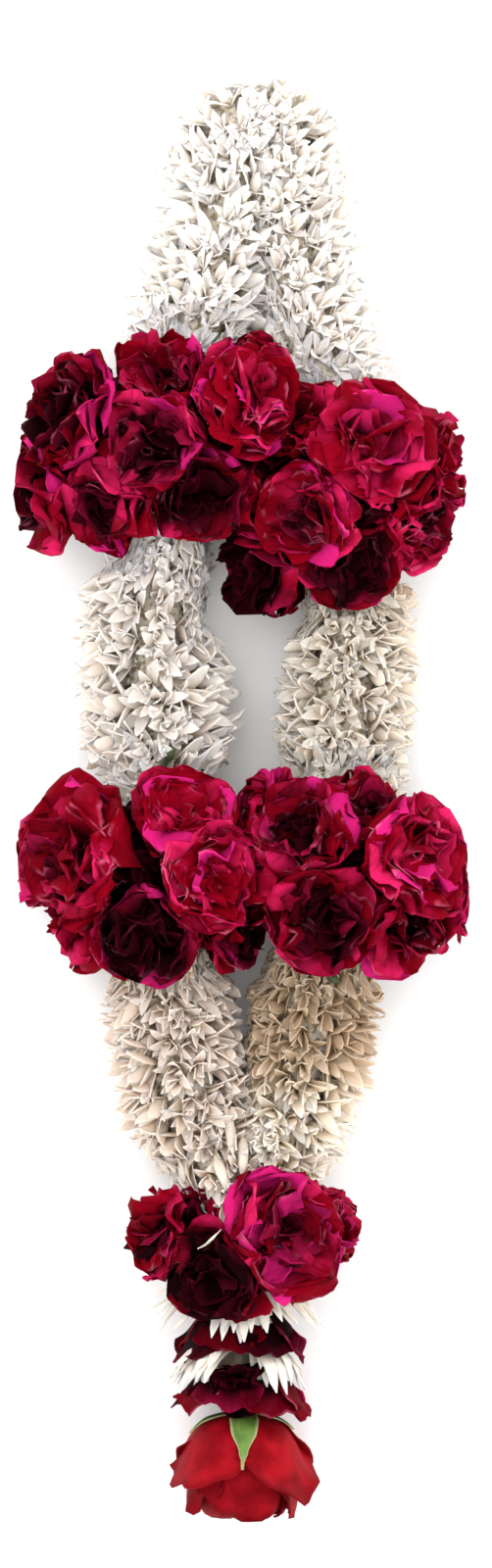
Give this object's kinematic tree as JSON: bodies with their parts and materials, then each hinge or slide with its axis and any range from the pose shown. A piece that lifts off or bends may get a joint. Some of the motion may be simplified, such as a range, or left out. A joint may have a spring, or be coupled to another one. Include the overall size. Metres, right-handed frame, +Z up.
{
  "type": "fresh flower garland",
  "caption": "Fresh flower garland laid flat: a loop of white florets with bands of crimson roses, and a tassel that ends in a red rose.",
  "frame": {"origin": "on the surface that the garland lies on, under the middle of its outline", "axes": "+Y along the garland from the tassel to the top of the loop, +X across it, +Z up from the surface"},
  "size_m": [0.2307, 0.7388, 0.1068],
  "materials": {
    "white_petals": "fresh waxy petals, warm white",
    "crimson_petals": "velvety petals, deep crimson with magenta lights",
    "red_petals": "smooth matt petals, warm red",
    "green_calyx": "matt green stalks and sepals",
    "cotton_thread": "twisted cotton string"
  },
  "bodies": {
    "root": {"disc_lower": "crimson_petals", "disc_upper": "crimson_petals", "florets_foot_left": "white_petals", "florets_foot_right": "white_petals", "florets_middle_left": "white_petals", "florets_middle_right": "white_petals", "florets_top_left": "white_petals", "florets_top_right": "white_petals", "red_rose": "red_petals", "red_rose_calyx": "green_calyx", "rose_lower_left_1": "crimson_petals", "rose_lower_left_2": "crimson_petals", "rose_lower_left_3": "crimson_petals", "rose_lower_left_4": "crimson_petals", "rose_lower_left_5": "crimson_petals", "rose_lower_left_6": "crimson_petals", "rose_lower_left_7": "crimson_petals", "rose_lower_right_1": "crimson_petals", "rose_lower_right_2": "crimson_petals", "rose_lower_right_3": "crimson_petals", "rose_lower_right_4": "crimson_petals", "rose_lower_right_5": "crimson_petals", "rose_lower_right_6": "crimson_petals", "rose_lower_right_7": "crimson_petals", "rose_lower_right_8": "crimson_petals", "rose_tassel_1": "crimson_petals", "rose_tassel_2": "crimson_petals", "rose_tassel_3": "crimson_petals", "rose_tassel_4": "crimson_petals", "rose_tassel_5": "crimson_petals", "rose_upper_left_1": "crimson_petals", "rose_upper_left_2": "crimson_petals", "rose_upper_left_3": "crimson_petals", "rose_upper_left_4": "crimson_petals", "rose_upper_left_5": "crimson_petals", "rose_upper_left_6": "crimson_petals", "rose_upper_left_7": "crimson_petals", "rose_upper_left_8": "crimson_petals", "rose_upper_right_1": "crimson_petals", "rose_upper_right_2": "crimson_petals", "rose_upper_right_3": "crimson_petals", "rose_upper_right_4": "crimson_petals", "rose_upper_right_5": "crimson_petals", "rose_upper_right_6": "crimson_petals", "rose_upper_right_7": "crimson_petals", "rose_upper_right_8": "crimson_petals", "roses_lower_left_under": "crimson_petals", "roses_lower_right_under": "crimson_petals", "roses_tassel_under": "crimson_petals", "roses_upper_left_under": "crimson_petals", "roses_upper_right_under": "crimson_petals", "ruff_lower": "white_petals", "ruff_upper": "white_petals", "stalks_lower_left": "green_calyx", "stalks_lower_right": "green_calyx", "stalks_tassel": "green_calyx", "stalks_upper_left": "green_calyx", "stalks_upper_right": "green_calyx", "thread": "cotton_thread"}
  },
  "joints": []
}
